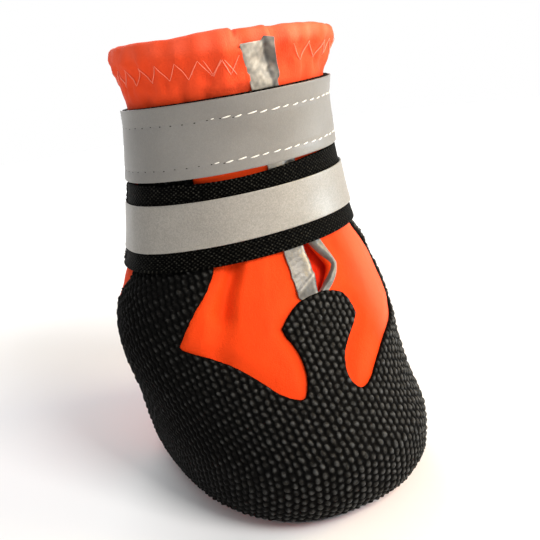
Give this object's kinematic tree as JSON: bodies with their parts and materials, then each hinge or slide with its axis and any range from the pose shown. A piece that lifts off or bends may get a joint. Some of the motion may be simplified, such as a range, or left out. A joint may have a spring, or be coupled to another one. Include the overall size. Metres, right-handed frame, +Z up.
{
  "type": "dog boot",
  "caption": "Soft dog boot with a flared neoprene shaft, mesh toe and sides, front split with gusset, reflective hook-and-loop straps and a rubber tread sole.",
  "frame": {"origin": "on the floor under the middle of the boot's overall box", "axes": "+Z up through the collar, toe towards -Y, the boot's right side towards -X"},
  "size_m": [0.0854, 0.1022, 0.1275],
  "materials": {
    "neoprene": "matte orange knit-faced neoprene",
    "gusset": "matte red-orange knit",
    "mesh": "black bumpy woven mesh",
    "webbing": "black woven webbing",
    "loop": "black fuzzy loop pile",
    "reflective": "grey retroreflective tape",
    "rubber": "satin moulded black rubber",
    "foam": "fabric-faced foam"
  },
  "bodies": {
    "root": {"outsole": "rubber", "insole": "foam", "upper": "neoprene", "mesh_skin": "mesh", "gusset": "gusset", "binding_left": "reflective", "binding_right": "reflective", "lower_strap": "webbing", "lower_strap_tape": "reflective", "lower_strap_loop_band": "loop", "upper_strap": "webbing", "upper_strap_tape": "reflective", "upper_strap_loop_band": "loop"}
  },
  "joints": []
}
